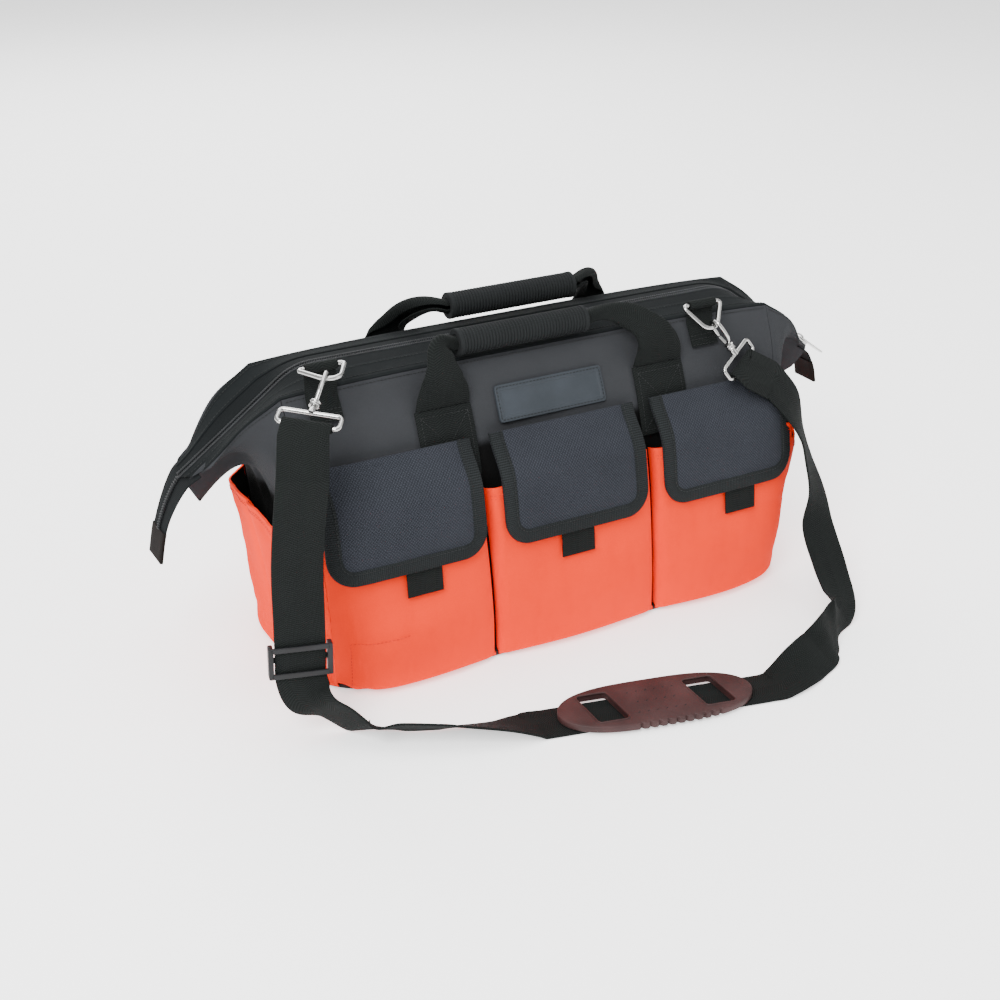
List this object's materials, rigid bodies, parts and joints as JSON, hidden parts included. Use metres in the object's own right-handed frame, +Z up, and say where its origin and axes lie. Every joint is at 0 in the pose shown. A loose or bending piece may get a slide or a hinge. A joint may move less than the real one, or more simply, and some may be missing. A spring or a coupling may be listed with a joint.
{
  "type": "tool bag",
  "caption": "Zip-top tool bag with flap-covered outer pockets, padded grip handles and a clip-on webbing shoulder strap with a rubber pad.",
  "frame": {"origin": "centre of the underside of the bag's base, on the floor", "axes": "+X along the bag to its right end as seen from the front, -Y out of the front, +Z up"},
  "size_m": [0.6655, 0.3739, 0.2877],
  "materials": {
    "charcoal_fabric": "woven polyester, matt",
    "orange_fabric": "woven polyester, matt",
    "flap_fabric": "ribbed woven polyester with a bound edge",
    "black_webbing": "woven webbing, matt",
    "grip_rubber": "ribbed, matt",
    "pad_rubber": "moulded, satin",
    "patch_rubber": "moulded, matt",
    "base_moulding": "textured",
    "base_board": "plain",
    "zip_teeth": "moulded coil",
    "adjuster_plastic": "ribbed",
    "nickel": "bright nickel plate"
  },
  "bodies": {
    "bag": {"back_panel": "charcoal_fabric", "base_board": "base_board", "base_cover": "base_moulding", "end_panel_left": "charcoal_fabric", "end_panel_right": "charcoal_fabric", "end_pocket_left": "orange_fabric", "end_pocket_right": "orange_fabric", "front_panel": "charcoal_fabric", "handle_back_leg_left": "black_webbing", "handle_back_leg_right": "black_webbing", "handle_front_leg_left": "black_webbing", "handle_front_leg_right": "black_webbing", "loop_patch_left": "black_webbing", "loop_patch_middle": "black_webbing", "loop_patch_right": "black_webbing", "name_patch": "patch_rubber", "pocket_back_left": "orange_fabric", "pocket_back_middle": "orange_fabric", "pocket_back_right": "orange_fabric", "pocket_front_left": "orange_fabric", "pocket_front_middle": "orange_fabric", "pocket_front_right": "orange_fabric", "ring_loop_left": "black_webbing", "ring_loop_right": "black_webbing", "strap_front": "black_webbing", "strap_left": "black_webbing", "strap_right": "black_webbing", "zip_end_tab_left": "black_webbing", "zip_end_tab_right": "black_webbing", "zip_tape_back": "charcoal_fabric", "zip_tape_front": "charcoal_fabric", "zip_teeth_back": "zip_teeth", "zip_teeth_front": "zip_teeth"},
    "slider": {"zip_slider": "nickel"},
    "pull": {"zip_pull": "nickel"},
    "flap_left": {"flap_left": "flap_fabric", "flap_tab_left": "black_webbing", "hook_patch_left": "black_webbing"},
    "flap_middle": {"flap_middle": "flap_fabric", "flap_tab_middle": "black_webbing", "hook_patch_middle": "black_webbing"},
    "flap_right": {"flap_right": "flap_fabric", "flap_tab_right": "black_webbing", "hook_patch_right": "black_webbing"},
    "handle_front": {"handle_front_webbing": "black_webbing", "handle_front_grip": "grip_rubber"},
    "handle_back": {"handle_back_webbing": "black_webbing", "handle_back_grip": "grip_rubber"},
    "ring_left": {"strap_ring_left": "nickel", "swivel_eye_left": "nickel"},
    "hook_left": {"snap_hook_left": "nickel"},
    "gate_left": {"hook_gate_left": "nickel"},
    "ring_right": {"strap_ring_right": "nickel", "swivel_eye_right": "nickel"},
    "hook_right": {"snap_hook_right": "nickel"},
    "gate_right": {"hook_gate_right": "nickel"},
    "adjuster": {"strap_adjuster": "adjuster_plastic"},
    "pad": {"shoulder_pad": "pad_rubber"}
  },
  "joints": [
    {"name": "flap_left_hinge", "type": "hinge", "parent": "bag", "child": "flap_left", "pos_m": [-0.156, -0.07189, 0.19628], "axis": [-1, 0, 0], "range_deg": [0, 110]},
    {"name": "flap_middle_hinge", "type": "hinge", "parent": "bag", "child": "flap_middle", "pos_m": [0, -0.07189, 0.19628], "axis": [-1, 0, 0], "range_deg": [0, 150]},
    {"name": "flap_right_hinge", "type": "hinge", "parent": "bag", "child": "flap_right", "pos_m": [0.156, -0.07189, 0.19628], "axis": [-1, 0, 0], "range_deg": [0, 64]},
    {"name": "handle_front_hinge", "type": "hinge", "parent": "bag", "child": "handle_front", "pos_m": [0, -0.05916, 0.22321], "axis": [-1, 0, 0], "range_deg": [-100, 0]},
    {"name": "handle_back_hinge", "type": "hinge", "parent": "bag", "child": "handle_back", "pos_m": [0, 0.05547, 0.22328], "axis": [1, 0, 0], "range_deg": [-110, 0]},
    {"name": "ring_left_hinge", "type": "hinge", "parent": "bag", "child": "ring_left", "pos_m": [-0.2, -0.046, 0.27], "axis": [-1, 0, 0], "range_deg": [-25, 90], "deforming": ["strap_left"]},
    {"name": "hook_left_swivel", "type": "hinge", "parent": "ring_left", "child": "hook_left", "pos_m": [-0.20747, -0.06894, 0.26819], "axis": [-0.6006, -0.6606, -0.4504], "range_deg": [-12, 20]},
    {"name": "gate_left_hinge", "type": "hinge", "parent": "hook_left", "child": "gate_left", "pos_m": [-0.22, -0.08117, 0.25653], "axis": [-0.7996, 0.4962, 0.3383], "range_deg": [0, 25], "stiffness_Nm_per_rad": 0.05, "springref_deg": -11.46},
    {"name": "ring_right_hinge", "type": "hinge", "parent": "bag", "child": "ring_right", "pos_m": [0.156, -0.0465, 0.262], "axis": [-1, 0, 0], "range_deg": [-3, 100], "deforming": ["strap_right"]},
    {"name": "hook_right_swivel", "type": "hinge", "parent": "ring_right", "child": "hook_right", "pos_m": [0.1618, -0.06266, 0.24456], "axis": [0.4807, -0.3205, -0.8162], "range_deg": [-20, 20]},
    {"name": "gate_right_hinge", "type": "hinge", "parent": "hook_right", "child": "gate_right", "pos_m": [0.17039, -0.06583, 0.22898], "axis": [-0.8769, -0.1757, -0.4475], "range_deg": [0, 25], "stiffness_Nm_per_rad": 0.05, "springref_deg": -11.46},
    {"name": "slider_slide", "type": "slide", "parent": "bag", "child": "slider", "axis": [-0.809, 0, 0.5878], "range_m": [0, 0.085]},
    {"name": "pull_hinge", "type": "hinge", "parent": "slider", "child": "pull", "pos_m": [0.30591, -0.004, 0.1914], "axis": [0, -1, 0], "range_deg": [0, 160]},
    {"name": "adjuster_slide", "type": "slide", "parent": "bag", "child": "adjuster", "axis": [0.0398, 0.0305, 0.9987], "range_m": [0, 0.06]},
    {"name": "pad_slide", "type": "slide", "parent": "bag", "child": "pad", "axis": [0.9744, -0.225, 0], "range_m": [-0.01, 0.01]}
  ]
}
